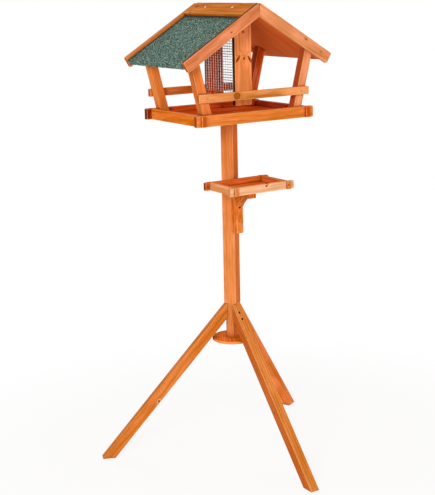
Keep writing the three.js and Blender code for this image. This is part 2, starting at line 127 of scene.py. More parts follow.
# Planed pine laths dipped in a red-cedar wood stain: broad soft growth bands along the
# board, fine fibre lines, blotches where the stain took unevenly, darker end grain. A range
# says where a coat starts, where it is full and its share there.
pineLook = {
    "early": 1.08, "late": 0.86,     # how bright pale early wood and dark late wood leave the stain
    "ringPitch": 6.5 * mm,           # rings are 2 to 4 mm apart; drawn wider so that they show
    "pitchSpread": (0.8, 1.25),      # a board's own pitch, as a share of that
    "ringEdge": 0.45, "ringCurve": ((0.2, 0.95), (0.6, 0.8), (0.86, 0.0)),   # how early it is across a ring
    "pithAside": (-18, 18), "pithDepth": (16, 40),       # the pith's place beside the board, in mm
    "bend": 18 * mm, "bendsPerMetre": (4.0, 17.0, 17.0),
    "fibre": 2.0 * mm, "fibresAlong": 26.0,              # fibres are far finer; drawn as coarse as shows
    "fibreShares": (0.85, 1.12),
    "blotchesPerMetre": (9.0, 40.0, 40.0), "blotchDark": 0.15, "blotchPale": 0.14,
    "contrast": (0.3, 0.7),          # the part of the noise's reach that the fibres and blotches use
    "bands": 1, "blotches": 1, "finer": 1,               # as on most boards
    "tone": (0.8, 1.2), "saturation": (1.03, 0.94),      # dark wood is redder than pale wood
    "endGrain": "#b4480c", "endRange": (0.55, 0.95, 0.85),
    "shadedSideRange": (0.5, 0.9),         # a shaded side's painted shade has its own share
    "darkEndFade": 0.6,                 # a dark end is full where this share of its depth is left
    "poolAndShade": "#6a2004", "poolAndShadeReach": 6 * mm, "poolAndShadeRange": (0.85, 0.3, 0.85),   # painted shade where another piece is near, and stain thick in the joints
    "rubbedAndLit": "#ffb876", "rubAndHighlightReach": 2.1 * mm, "rubAndHighlightRange": (0.99, 0.92, 0.9),   # painted highlight and worn pale wood on the corners
    "knots": (), "knotTones": soundKnot,
    "knotRim": 1.25, "haloFrom": 3.4, "haloFull": 0.5,   # in radii of the knot
    "smallKnot": 4,                  # mm: the rings bend further round knots below this radius
    "smallPush": 5 * mm, "largePush": 1 * mm,
    "through": 6, "heartStretch": 5,     # stretch through the board, and past which a knot is a long one
    "roughLow": 0.55, "roughHigh": 0.8, "specular": 0.03, "relief": 0.4, "bumpDepth": 0.4 * mm,
    "easedEdge": 0.6 * mm,           # as a planed edge is eased
    "firstSeed": 1000,               # the boards' random draws, one seed for each
}
# Painted shade on sides that lie in shade, and the way that the darkest of them face
shadeBlack = "#2e0d03"
shadeRed = "#b44000"
leftward = (-1, 0, 0)
# Each board's own stain, and where it isn't as pineLook says. bands and blotches make the
# figure stronger or fainter, and finer makes the blotches smaller. A shaded side is painted
# shade on the side that faces one way: that way, its colour and its share. Dark ends grow
# darker towards the board's ends: how far in, colour and share. Knots are where the object
# has them, and guessed on sides that don't show in the picture: place in mm, radius in mm,
# stretch along the board, tilt on its face in degrees.
boardLooks = {
    "ridge_board_left": {
        "stain": "#dc7a0a",
        "knots": [((-9.5, 188.4, 1109.6), 4.5, 1.5, 0), ((-32, 185.2, 1096), 2.6, 1.5, 0)]},
    "ridge_board_right": {"stain": "#d47614"},
    "roof_panel_left": {"stain": "#de702a", "bands": 0.15, "blotches": 0.5, "easedEdge": 0.3 * mm},
    "roof_panel_right": {"stain": "#de6c1e", "bands": 0.15, "blotches": 0.5, "easedEdge": 0.3 * mm},
    "barge_front_left": {
        "stain": "#d67e50", "bands": 0.7, "blotches": 1.6, "shadedSide": (offRoof(-1), "#4a1a06", 0.85),
        "knots": [((-71.3, -51.9, 1055.5), 1.8, 1.2, 0)]},
    "barge_front_right": {
        "stain": "#e39260",
        "knots": [((139.2, -51.9, 1031.7), 1.9, 1.8, 0), ((183.9, -51.9, 999.2), 1.6, 1.5, 0)]},
    "barge_rear_left": {"stain": "#dc7e34", "knots": [((-120, 221, 1025), 3.5, 1.4, 0)]},
    "barge_rear_right": {"stain": "#e0843c", "knots": [((90, 221, 1052), 3.5, 1.4, 0)]},
    "corner_post_front_left": {
        "stain": "#e27e3c", "bands": 0.5, "shadedSide": (leftward, shadeBlack, 0.12)},
    "corner_post_rear_left": {"stain": "#e6863a", "bands": 0.5},
    "corner_post_front_right": {
        "stain": "#ea9866", "bands": 0.7, "blotches": 1.4, "shadedSide": (leftward, "#a43a06", 0.85)},
    "corner_post_rear_right": {
        "stain": "#d85c1c", "bands": 0.6, "blotches": 2.6, "shadedSide": (leftward, shadeBlack, 0.4)},
    "rail_front": {
        "stain": "#da8844", "bands": 2.2, "blotches": 1.2, "knotTones": barkRingKnot,
        "knots": [((-44.8, -30.2, 910), 6.5, 1.2, 0)]},
    "rail_rear": {"stain": "#e2853e", "endGrain": "#9a3404", "knots": [((80, 200, 908), 4.5, 1.4, 0)]},
    "silo_board_front": {
        "stain": "#ec9050", "shadedSide": (leftward, shadeBlack, 0.95),
        "knots": [((8.5, 18.5, 1051.7), 2.2, 1.4, 0), ((-7, 18.5, 990.2), 3.0, 3.4, 38),
                  ((10, 18.5, 990.4), 2.6, 1.6, 0), ((25.7, 18.5, 988.4), 3.0, 3.0, -28)]},
    "silo_board_rear": {
        "stain": "#e87c4a", "bands": 1.6, "blotches": 1.6, "shadedSide": (leftward, shadeBlack, 0.5)},
    "tray_front_board": {"stain": "#dc7a2e", "bands": 0.5, "blotches": 0.8, "endGrain": "#a02c00"},
    "tray_left_board": {"stain": "#e2761c", "endGrain": "#b4480a"},
    "tray_rear_board": {
        "stain": "#d4580c", "endGrain": "#661400", "darkEnds": (15 * mm, "#661400", 0.8),
        "knots": [((60, 204, 858), 5.0, 1.4, 0)]},
    # The tray's right board is stained darker as painted shade, for its inner side lies in shade under the
    # roof
    "tray_right_board": {"stain": "#b83c04", "endGrain": "#d04e04", "knots": [((162, 60, 860), 4.0, 1.5, 0)]},
    "tray_floor": {"stain": "#ee6a10", "specular": 0.0},
    "small_tray_front_board": {
        "stain": "#f2b68a", "endGrain": "#cf7a3c",
        "knots": [((19.1, -59.2, 702.3), 3.0, 1.4, 0), ((14.7, -59.2, 696.8), 2.4, 1.4, 0)]},
    "small_tray_left_board": {"stain": "#eca068", "endGrain": "#cf7434"},
    "small_tray_rear_board": {
        "stain": "#d8640e", "blotches": 1.8, "endGrain": "#7c3008", "darkEnds": (11 * mm, "#7c3008", 0.35),
        "knots": [((-82, 45.3, 692), 2.8, 1.2, 0)]},
    "small_tray_right_board": {
        "stain": "#dd742c", "endGrain": "#cc7c3c", "knots": [((76.6, -63.7, 692.5), 2.6, 8, 0)]},
    "small_tray_floor": {"stain": "#ec8828", "specular": 0.0},
    "bracket": {"stain": "#de7628", "bands": 0.6, "blotches": 2.0, "finer": 5, "easedEdge": 0.5 * mm},
    "head_plate": {"stain": "#c85a14"},
    # The post and the disc take painted shade farther out, where the legs shade them
    "stand_post": {
        "stain": "#e48a48", "bands": 0.5, "blotches": 0.8, "poolAndShadeReach": 26 * mm,
        "shadedSide": ((math.sin(postTurn), -math.cos(postTurn), 0), "#e05c08", 0.45),
        "knots": [((20, 75, 610), 4.5, 1.5, 0)]},
    # The disc's pale end colour is a painted highlight along its lit rim
    "base_disc": {"stain": "#fa8418", "endGrain": "#f2a466", "poolAndShadeReach": 24 * mm},
    "leg_front": {
        "stain": "#dc8438", "easedEdge": 0.7 * mm, "shadedSide": (leftward, shadeRed, 0.5),
        "knots": [((10, -110, 150), 3.5, 1.6, 0)]},
    "leg_left": {
        "stain": "#dc8032", "easedEdge": 0.7 * mm, "shadedSide": (besideLeg("leg_left"), shadeRed, 0.15),
        "knotTones": cutTwigKnot, "knots": [((-178.4, 147.9, 140.8), 4.6, 1.2, 0)]},
    "leg_rear": {
        "stain": "#f0802e", "bands": 0.8, "blotches": 1.5, "easedEdge": 0.7 * mm,
        "knots": [((190, 184, 190), 5.0, 1.4, 0)]},
}


# A board's middle, half its length, and the turn from the object's axes to its own, which
# are length, width and thickness.
def boardFrame(piece, along, thick):
    low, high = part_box(piece)
    lengthwise = Vector(along).normalized()
    through = Vector(thick)
    through = (through - lengthwise * through.dot(lengthwise)).normalized()
    half = abs(lengthwise.dot(high - low)) / 2
    return (low + high) / 2, half, Matrix((lengthwise, through.cross(lengthwise), through))


# Distance from the pith line beside the board, bent by slow noise. The length is left out of
# it, so that the rings run along the board.
def pithDistance(tree, look, board, shifted, pith):
    bend = look["bend"]
    slow = addNode(tree, "ShaderNodeVectorMath", {0: shifted, 1: look["bendsPerMetre"]}, operation="MULTIPLY")
    noise = addNode(tree, "ShaderNodeTexNoise", {"Vector": slow.outputs[0], "Scale": 1.0, "Detail": 2.0})
    bent = addNode(tree, "ShaderNodeVectorMath", {
        0: noise.outputs["Color"], 1: (0.0, bend, bend), 2: board}, operation="MULTIPLY_ADD")
    fromPith = addNode(tree, "ShaderNodeVectorMath", {
        0: bent.outputs[0], 1: pith + Vector((0, bend / 2, bend / 2))}, operation="SUBTRACT")
    inSection = addNode(tree, "ShaderNodeVectorMath", {
        0: fromPith.outputs[0], 1: (0.0, 1.0, 1.0)}, operation="MULTIPLY")
    distance = addNode(tree, "ShaderNodeVectorMath", {0: inSection.outputs[0]}, operation="LENGTH")
    return distance.outputs["Value"]


# Bends the rings out around each knot, and gives how deep in a knot a spot is, from 0 to 1.
# A knot goes through the board, but a long one is a heart that runs along it to the end grain.
def ringsAroundKnots(tree, look, board, centre, turn, distance):
    depth = None
    for place, radius, stretch, tilt in look["knots"]:
        through = 1 if stretch > look["heartStretch"] else look["through"]
        push = look["smallPush"] if radius < look["smallKnot"] else look["largePush"]
        near = addNode(tree, "ShaderNodeMapping", {
            "Vector": board, "Location": turn @ (Vector(place) * mm - centre),
            "Rotation": (0, 0, math.radians(tilt)), "Scale": (stretch, 1, through)}, vector_type="TEXTURE")
        away = addNode(tree, "ShaderNodeVectorMath", {0: near.outputs[0]}, operation="LENGTH")
        halo = addNode(tree, "ShaderNodeMapRange", {
            "Value": away.outputs["Value"], "From Min": look["haloFrom"] * radius * mm,
            "From Max": look["haloFull"] * radius * mm, "To Max": push}, interpolation_type="SMOOTHSTEP")
        pushed = addNode(tree, "ShaderNodeMath", {0: distance, 1: halo.outputs[0]}, operation="ADD")
        distance = pushed.outputs[0]
        inside = addNode(tree, "ShaderNodeMapRange", {
            "Value": away.outputs["Value"], "From Min": look["knotRim"] * radius * mm,
            "From Max": 0.0}).outputs[0]
        if depth is None:
            depth = inside
        else:
            depth = addNode(tree, "ShaderNodeMath", {0: depth, 1: inside}, operation="MAXIMUM").outputs[0]
    return distance, depth


# The stain's brightness is the product of growth bands, which follow the fraction of the
# distance over the ring pitch, of fibre lines and of blotches. Gives it, the fibres and the bands.
def grainFigure(tree, look, shifted, distance, ringPitch):
    rings = addNode(tree, "ShaderNodeMath", {0: distance, 1: ringPitch}, operation="DIVIDE")
    phase = addNode(tree, "ShaderNodeMath", {0: rings.outputs[0]}, operation="FRACT")
    band = addNode(tree, "ShaderNodeFloatCurve", {"Value": phase.outputs[0]})
    curve = band.mapping.curves[0]
    for place in (0, 1):
        curve.points[place].location = (place, look["ringEdge"])
    for across, early in look["ringCurve"]:
        curve.points.new(across, early)
    band.mapping.update()
    bandShare = addNode(tree, "ShaderNodeMapRange", {
        "Value": band.outputs[0], "To Min": 1 + look["bands"] * (look["late"] - 1),
        "To Max": 1 + look["bands"] * (look["early"] - 1)})

    start, full = look["contrast"]
    lines = addNode(tree, "ShaderNodeVectorMath", {
        0: shifted, 1: (look["fibresAlong"], 1 / look["fibre"], 1 / look["fibre"])}, operation="MULTIPLY")
    fibre = addNode(tree, "ShaderNodeTexNoise", {
        "Vector": lines.outputs[0], "Scale": 1.0, "Detail": 3.0, "Roughness": 0.6})
    fibreShare = addNode(tree, "ShaderNodeMapRange", {
        "Value": fibre.outputs[0], "From Min": start, "From Max": full,
        "To Min": look["fibreShares"][0], "To Max": look["fibreShares"][1]})

    patches = addNode(tree, "ShaderNodeVectorMath", {
        0: shifted, 1: Vector(look["blotchesPerMetre"]) * look["finer"]}, operation="MULTIPLY")
    blotch = addNode(tree, "ShaderNodeTexNoise", {"Vector": patches.outputs[0], "Scale": 1.0, "Detail": 4.0})
    blotchShare = addNode(tree, "ShaderNodeMapRange", {
        "Value": blotch.outputs[0], "From Min": start, "From Max": full,
        "To Min": 1 - look["blotchDark"] * look["blotches"],
        "To Max": 1 + look["blotchPale"] * look["blotches"]})
    uneven = addNode(tree, "ShaderNodeMath", {
        0: fibreShare.outputs[0], 1: blotchShare.outputs[0]}, operation="MULTIPLY")
    brightness = addNode(tree, "ShaderNodeMath", {
        0: uneven.outputs[0], 1: bandShare.outputs[0]}, operation="MULTIPLY")
    return brightness.outputs[0], fibre.outputs[0], band.outputs[0]


# The stain on one board: its figure, then the coats that ends and knots have, painted shade on sides and near
# other pieces, and painted highlights on the corners.
def stainedPine(piece, along, thick, seed):
    look = {**pineLook, **boardLooks[piece]}
    centre, half, turn = boardFrame(piece, along, thick)
    rng = np.random.default_rng(pineLook["firstSeed"] + seed)
    aside = rng.uniform(*look["pithAside"])
    depth = rng.choice((-1, 1)) * rng.uniform(*look["pithDepth"])
    ownPlace = rng.uniform(1, 9, 3)   # metres, so that no two boards share their noise
    ringPitch = look["ringPitch"] * rng.uniform(*look["pitchSpread"])

    material, tree = newMaterial("stainedPine_" + piece)
    coords = addNode(tree, "ShaderNodeTexCoord")
    board = addNode(tree, "ShaderNodeMapping", {
        "Vector": coords.outputs["Object"], "Location": -(turn @ centre),
        "Rotation": turn.to_euler("XYZ")}).outputs[0]
    shifted = addNode(tree, "ShaderNodeVectorMath", {
        0: board, 1: Vector(ownPlace)}, operation="ADD").outputs[0]
    distance = pithDistance(tree, look, board, shifted, Vector((0, aside * mm, depth * mm)))
    distance, knotDepth = ringsAroundKnots(tree, look, board, centre, turn, distance)
    brightness, fibre, band = grainFigure(tree, look, shifted, distance, ringPitch)
    warmth = addNode(tree, "ShaderNodeMapRange", {
        "Value": brightness, "From Min": look["tone"][0], "From Max": look["tone"][1],
        "To Min": look["saturation"][0], "To Max": look["saturation"][1]})
    colour = addNode(tree, "ShaderNodeHueSaturation", {
        "Saturation": warmth.outputs[0], "Value": brightness, "Color": hexColour(look["stain"])}).outputs[0]

    # End grain drinks more stain: the more a face looks along the board, the darker it is
    facing = addNode(tree, "ShaderNodeVectorMath", {
        0: coords.outputs["Normal"], 1: turn[0]}, operation="DOT_PRODUCT")
    squarely = addNode(tree, "ShaderNodeMath", {0: facing.outputs["Value"]}, operation="ABSOLUTE")
    colour = layOver(tree, colour, hexColour(look["endGrain"]), squarely.outputs[0], *look["endRange"])
    # Darker towards both ends of the board
    if "darkEnds" in look:
        reach, deep, share = look["darkEnds"]
        place = addNode(tree, "ShaderNodeSeparateXYZ", {0: board})
        fromMiddle = addNode(tree, "ShaderNodeMath", {0: place.outputs[0]}, operation="ABSOLUTE")
        colour = layOver(tree, colour, hexColour(deep), fromMiddle.outputs[0],
                         half - reach, half - look["darkEndFade"] * reach, share)
    # Painted shade on the side that faces the given way
    if "shadedSide" in look:
        way, deep, share = look["shadedSide"]
        sideways = addNode(tree, "ShaderNodeVectorMath", {
            0: coords.outputs["Normal"], 1: way}, operation="DOT_PRODUCT")
        colour = layOver(tree, colour, hexColour(deep), sideways.outputs["Value"], *look["shadedSideRange"], share)
    if look["knots"]:
        tones, fade = look["knotTones"]
        knotTone = addNode(tree, "ShaderNodeValToRGB", {0: knotDepth}, stops=tones)
        colour = layOver(tree, colour, knotTone.outputs[0], knotDepth, 0.0, fade,
                         interpolation_type="SMOOTHSTEP")

    # Painted highlight with worn pale wood on the corners: where the rounded normal departs from the face's
    # own, a pale coat shows
    rounded = addNode(tree, "ShaderNodeBevel", {"Radius": look["rubAndHighlightReach"]}, samples=4)
    face = addNode(tree, "ShaderNodeNewGeometry")
    agree = addNode(tree, "ShaderNodeVectorMath", {
        0: rounded.outputs[0], 1: face.outputs["Normal"]}, operation="DOT_PRODUCT")
    colour = layOver(tree, colour, hexColour(look["rubbedAndLit"]), agree.outputs["Value"], *look["rubAndHighlightRange"])
    # Painted shade: darker where another piece is near, in corners and between parts; the stain also lies
    # thicker in the joints
    openness = addNode(tree, "ShaderNodeAmbientOcclusion", {"Distance": look["poolAndShadeReach"]}, samples=8)
    colour = layOver(tree, colour, hexColour(look["poolAndShade"]), openness.outputs["AO"], *look["poolAndShadeRange"])

    rough = addNode(tree, "ShaderNodeMapRange", {
        "Value": fibre, "To Min": look["roughLow"], "To Max": look["roughHigh"]})
    relief = addNode(tree, "ShaderNodeMath", {0: fibre, 1: band}, operation="ADD")
    bump = addNode(tree, "ShaderNodeBump", {
        "Strength": look["relief"], "Distance": look["bumpDepth"], "Height": relief.outputs[0]})
    shader = addNode(tree, "ShaderNodeBsdfPrincipled", {
        "Base Color": colour, "Roughness": rough.outputs[0], "Normal": bump.outputs[0],
        "Specular IOR Level": look["specular"]})
    finishMaterial(tree, shader)
    return material


discGrain = (0.555, 0.832, 0)
# Which way each board's length and thickness run
boards = {
    "stand_post": (alongZ, (math.cos(postTurn), math.sin(postTurn), 0)),
    "base_disc": (discGrain, alongZ), "head_plate": (alongX, alongZ), "bracket": (alongZ, alongX),
    "rail_front": (alongX, alongY), "rail_rear": (alongX, alongY),
    "silo_board_front": (alongZ, alongY), "silo_board_rear": (alongZ, alongY),
}
for side, sign in (("left", -1), ("right", 1)):
    boards["ridge_board_" + side] = (alongY, offRoof(sign))
    boards["roof_panel_" + side] = (downRoof(sign), offRoof(sign))
    for end in ("front", "rear"):
        boards[f"corner_post_{end}_{side}"] = ((sign * math.sin(cornerLean), 0, math.cos(cornerLean)), alongY)
        boards[f"barge_{end}_{side}"] = (downRoof(sign), alongY)
for leg, turned in legTurns.items():
    out, down = math.sin(legLean), math.cos(legLean)
    boards[leg] = ((math.cos(turned) * out, math.sin(turned) * out, -down), besideLeg(leg))
for tray in ("tray", "small_tray"):
    boards.update({tray + "_front_board": (alongX, alongY), tray + "_rear_board": (alongX, alongY),
                   tray + "_left_board": (alongY, alongX), tray + "_right_board": (alongY, alongX),
                   tray + "_floor": (alongX, alongZ)})

# What the modifiers take for one corner, for flat and for a sharp edge
easing = {"oneCorner": 0.01 * mm, "flat": math.radians(0.5), "sharp": math.radians(40), "segments": 2}


# Welds the loose triangles, joins flat ones and rounds the sharp edges, all as modifiers.
def easeEdges(node, width):
    weld = node.modifiers.new("weld", "WELD")
    weld.merge_threshold = easing["oneCorner"]
    flatten = node.modifiers.new("flatten", "DECIMATE")
    flatten.decimate_type = "DISSOLVE"
    flatten.angle_limit = easing["flat"]
    ease = node.modifiers.new("easedEdge", "BEVEL")
    ease.width = width
    ease.segments = easing["segments"]
    ease.limit_method = "ANGLE"
    ease.angle_limit = easing["sharp"]


for seed, (name, (along, thick)) in enumerate(sorted(boards.items())):
    setMaterial(nodes[name], stainedPine(name, along, thick, seed))
    easeEdges(nodes[name], boardLooks[name].get("easedEdge", pineLook["easedEdge"]))
print("stained pine:", len(boards), "boards")


# Bitumen felt pressed with crushed green slate: matt, with dark and pale granules, worn in
# patches, and painted shade along the boards around it.
feltLook = {
    "granule": 1.3 * mm,             # granules are 1 to 1.5 mm
    "granules": [(0.0, "#052016"), (0.38, "#052016"), (0.5, "#285a48"),   # dark, green, grey and pale
                 (0.8, "#588c7c"), (0.92, "#cdeae2"), (1.0, "#cdeae2")],
    "patchesPerMetre": 22.0, "contrast": (0.3, 0.7), "patchShares": (0.84, 1.02),
    "boardShade": "#0c140c", "boardShadeReach": 16 * mm, "boardShadeRange": (0.97, 0.75, 0.9),
    "roughness": 0.95, "relief": 0.7, "bumpDepth": 0.8 * mm,
}


def mineralFelt(name):
    material, tree = newMaterial(name)
    coords = addNode(tree, "ShaderNodeTexCoord")
    grit = addNode(tree, "ShaderNodeTexVoronoi", {
        "Vector": coords.outputs["Object"], "Scale": 1 / feltLook["granule"]})
    pick = addNode(tree, "ShaderNodeSeparateColor", {0: grit.outputs["Color"]})
    granules = addNode(tree, "ShaderNodeValToRGB", {0: pick.outputs[0]}, stops=feltLook["granules"])
    patches = addNode(tree, "ShaderNodeTexNoise", {
        "Vector": coords.outputs["Object"], "Scale": feltLook["patchesPerMetre"], "Detail": 4.0})
    worn = addNode(tree, "ShaderNodeMapRange", {
        "Value": patches.outputs[0], "From Min": feltLook["contrast"][0], "From Max": feltLook["contrast"][1],
        "To Min": feltLook["patchShares"][0], "To Max": feltLook["patchShares"][1]})
    colour = addNode(tree, "ShaderNodeHueSaturation", {
        "Value": worn.outputs[0], "Color": granules.outputs[0]})
    # Painted shade on the felt along the ridge board and the barges
    openness = addNode(tree, "ShaderNodeAmbientOcclusion", {"Distance": feltLook["boardShadeReach"]}, samples=8)
    shadedFelt = layOver(tree, colour.outputs[0], hexColour(feltLook["boardShade"]), openness.outputs["AO"],
                    *feltLook["boardShadeRange"])
    bump = addNode(tree, "ShaderNodeBump", {
        "Strength": feltLook["relief"], "Distance": feltLook["bumpDepth"],
        "Height": grit.outputs["Distance"]})
    shader = addNode(tree, "ShaderNodeBsdfPrincipled", {
        "Base Color": shadedFelt, "Roughness": feltLook["roughness"], "Normal": bump.outputs[0]})
    finishMaterial(tree, shader)
    return material


felt = mineralFelt("mineralFelt")
for side in ("left", "right"):
    setMaterial(nodes["roof_felt_" + side], felt)
print("felt: two sheets")


# Hot-dip galvanised wire: a grey zinc skin with soft spangle, duller than polished steel. The
# level wires lie outside and are painted dark as shade; the upright ones are the lit copy, near white.
# Zinc-plated steel: an even grey with fine scuffs. Screws that were dipped with the wood carry
# its stain: those of the rails and the bracket's lower one have a brown haze. The other sunk
# heads are painted almost black, as shade deep in their holes.
metalLook = {
    "brightWire": {"colour": "#fbfaf8", "dull": "#e4e0dc", "rough": (0.2, 0.36), "grain": 3 * mm},
    "shadedWire": {"colour": "#2c363e", "dull": "#161c22", "rough": (0.5, 0.7), "grain": 3 * mm},
    "platedSteel": {"colour": "#dcdcd8", "dull": "#b0b0aa", "rough": (0.25, 0.42), "grain": 1.2 * mm},
    "hazySteel": {"colour": "#d0ae98", "dull": "#98745c", "rough": (0.4, 0.6), "grain": 1.2 * mm},
    "shadedSteel": {"colour": "#3c1c0c", "dull": "#1e0e06", "rough": (0.5, 0.7), "grain": 1.5 * mm},
    "relief": 0.2, "bumpDepth": 0.1 * mm,
}


def zincCoated(name, look):
    smooth, rough = look["rough"]
    material, tree = newMaterial(name)
    coords = addNode(tree, "ShaderNodeTexCoord")
    spangle = addNode(tree, "ShaderNodeTexNoise", {
        "Vector": coords.outputs["Object"], "Scale": 1 / look["grain"], "Detail": 2.0})
    colour = addNode(tree, "ShaderNodeMix", {
        0: spangle.outputs[0], 6: hexColour(look["dull"]), 7: hexColour(look["colour"])}, data_type="RGBA")
    scuffs = addNode(tree, "ShaderNodeMapRange", {
        "Value": spangle.outputs[0], "To Min": rough, "To Max": smooth})
    bump = addNode(tree, "ShaderNodeBump", {
        "Strength": metalLook["relief"], "Distance": metalLook["bumpDepth"], "Height": spangle.outputs[0]})
    shader = addNode(tree, "ShaderNodeBsdfPrincipled", {
        "Base Color": colour.outputs[2], "Metallic": 1.0, "Roughness": scuffs.outputs[0],
        "Normal": bump.outputs[0]})
    finishMaterial(tree, shader)
    return material


brightWire = zincCoated("galvanisedWire", metalLook["brightWire"])
shadedWire = zincCoated("shadedZincWire", metalLook["shadedWire"])
screwMetal = zincCoated("zincPlatedSteel", metalLook["platedSteel"])
hazyMetal = zincCoated("zincPlatedSteelUnderStain", metalLook["hazySteel"])
shadedScrewMetal = zincCoated("shadedSteel", metalLook["shadedSteel"])
for name, node in nodes.items():
    if name.startswith("hinge_"):
        setMaterial(node, screwMetal)


# Six times the volume that the faces enclose, below 0 where they point inwards. Each face is
# cut into triangles from its first corner, and each of them adds the dot product of that
# corner with the cross product of the other two.
def signedVolume(vertices, faces):
    corners = vertices[faces]
    total = 0.0
    for second in range(1, faces.shape[1] - 1):
        crossed = np.cross(corners[:, second], corners[:, second + 1])
        total += np.einsum("ij,ij->", corners[:, 0], crossed)
    return total


# Many closed tubes in one mesh. tubes has the shape (tubes, rings, points round, xyz):
# neighbouring rings are joined by quads, and each end is closed by a fan on its middle. The
# first tubes, as many as firstCount says, get the other material.
def tubeMesh(name, tubes, material, body, firstMaterial=None, firstCount=0):
    count, rings, around = tubes.shape[:3]
    ring = np.arange(around)
    nextRing = (ring + 1) % around
    step = np.arange(rings - 1)[:, None] * around
    wall = np.stack([step + ring, step + nextRing, step + around + nextRing, step + around + ring], -1)
    onWall = rings * around
    lastRing = (rings - 1) * around
    fans = np.concatenate([
        np.stack([np.full(around, onWall), nextRing, ring], -1),
        np.stack([np.full(around, onWall + 1), lastRing + ring, lastRing + nextRing], -1)])
    offsets = np.arange(count)[:, None, None] * (onWall + 2)
    middles = np.stack([tubes[:, 0].mean(1), tubes[:, -1].mean(1)], 1)
    vertices = np.concatenate([tubes.reshape(count, onWall, 3), middles], 1).reshape(-1, 3)
    quads = (wall.reshape(1, -1, 4) + offsets).reshape(-1, 4)
    fans = (fans[None] + offsets).reshape(-1, 3)
    if signedVolume(vertices, quads) + signedVolume(vertices, fans) < 0:   # the faces point inwards
        quads, fans = quads[:, ::-1], fans[:, ::-1]
    mesh = bpy.data.meshes.new(name)
    mesh.from_pydata(vertices.tolist(), [], quads.tolist() + fans.tolist())
    mesh.polygons.foreach_set("use_smooth", np.ones(len(mesh.polygons), bool))
    piece = bpy.data.objects.new(name, mesh)
    bpy.context.scene.collection.objects.link(piece)
    setMaterial(piece, material)
    if firstMaterial:
        mesh.materials.append(firstMaterial)
        isFirst = np.arange(count) < firstCount
        mesh.polygons.foreach_set("material_index", np.concatenate(
            [np.repeat(isFirst, lastRing), np.repeat(isFirst, 2 * around)]).astype(np.int32))
    mesh.update()
    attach(piece, body)
    return piece


# Welded mesh, level wires a quarter inch apart and the stouter upright ones behind them. It is
# stapled to the inner 3 mm of the boards' sides and hangs one wire lower than its plain solid.
meshLook = {
    "wire": 0.85 * mm, "uprightWire": 1.1 * mm, "pitch": 6.35 * mm, "uprightPitch": 10.6 * mm,
    "lap": 3.0 * mm,
    "layersApart": 0.92,                    # in wires, as a weld sinks one into the other
    "waver": 0.12 * mm, "waves": (9, 23),   # each sine's height, and its radians along a wire
    "sides": 6, "steps": 36, "seeds": {"left": 8, "right": 7},
}


# Points as rows of x, y and z, each of which is one value or a run of them.
def pointsAt(x, y, z):
    return np.stack(np.broadcast_arrays(x, y, z), -1)


# A wire is a circle carried along a nearly straight line that wavers by two slow sines.
def wireTubes(starts, ends, across, outward, wire, rng):
    across, outward = np.array(across, float), np.array(outward, float)
    t = np.linspace(0, 1, meshLook["steps"])[None, :, None]
    phases = rng.uniform(0, 2 * np.pi, (len(starts), 1, 2))
    slow, quick = meshLook["waves"]
    waver = meshLook["waver"] * (np.sin(slow * t + phases[:, :, :1]) + np.sin(quick * t + phases[:, :, 1:]))
    line = starts[:, None] * (1 - t) + ends[:, None] * t + waver * across
    turns = np.linspace(0, 2 * np.pi, meshLook["sides"], endpoint=False)
    circle = np.cos(turns)[:, None] * across + np.sin(turns)[:, None] * outward
    return line[:, :, None] + circle * wire / 2


def wireMesh(side, sign):
    low, high = (np.array(v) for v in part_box("silo_mesh_" + side))
    rng = np.random.default_rng(meshLook["seeds"][side])
    wire = meshLook["wire"]
    low[1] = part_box("silo_board_front")[1].y - meshLook["lap"]
    high[1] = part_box("silo_board_rear")[0].y + meshLook["lap"]
    low[2] -= meshLook["pitch"]
    middle = (low[0] + high[0]) / 2
    outer = middle + sign * wire * meshLook["layersApart"] / 2
    inner = middle - sign * wire * meshLook["layersApart"] / 2
    rise = np.linspace(low[2] + wire, high[2] - wire, round((high[2] - low[2]) / meshLook["pitch"]) + 1)
    run = np.linspace(low[1] + wire, high[1] - wire, round((high[1] - low[1]) / meshLook["uprightPitch"]) + 1)
    level = wireTubes(pointsAt(outer, low[1], rise), pointsAt(outer, high[1], rise),
                      alongZ, alongX, wire, rng)
    upright = wireTubes(pointsAt(inner, run, low[2]), pointsAt(inner, run, high[2]),
                        alongY, alongX, meshLook["uprightWire"], rng)
    # The level wires get the shaded copy of the wire and the uprights the lit one
    piece = tubeMesh("wire_mesh_" + side, np.concatenate([level, upright]), brightWire, "stand_and_house",
                     shadedWire, len(level))
    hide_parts("silo_mesh_" + side)


wireMesh("left", -1)
wireMesh("right", 1)
print("silo mesh: two panels of welded wire")


# A countersunk screw is a profile turned about its axis: the flat top, the cone under it and
# the shank. The cross slot lowers the top where the distance to either arm's middle line is
# less than half the slot's width, fading out towards the rim. Heights and the tip are in mm,
# the slot's depth is in heads' heights, and its other sizes and the innermost ring are in
# radii of the head.
screwLook = {
    "around": 40, "topRings": 12, "innermost": 0.04, "crown": 0.25, "rim": 0.3, "point": 3, "tip": 0.1,
    "slotWidth": 0.26, "slotEdge": 0.06, "slotReach": 0.72, "slotFade": 0.2, "slotDepth": 0.35,
    "slotTurn": 0.6,                        # radians
}


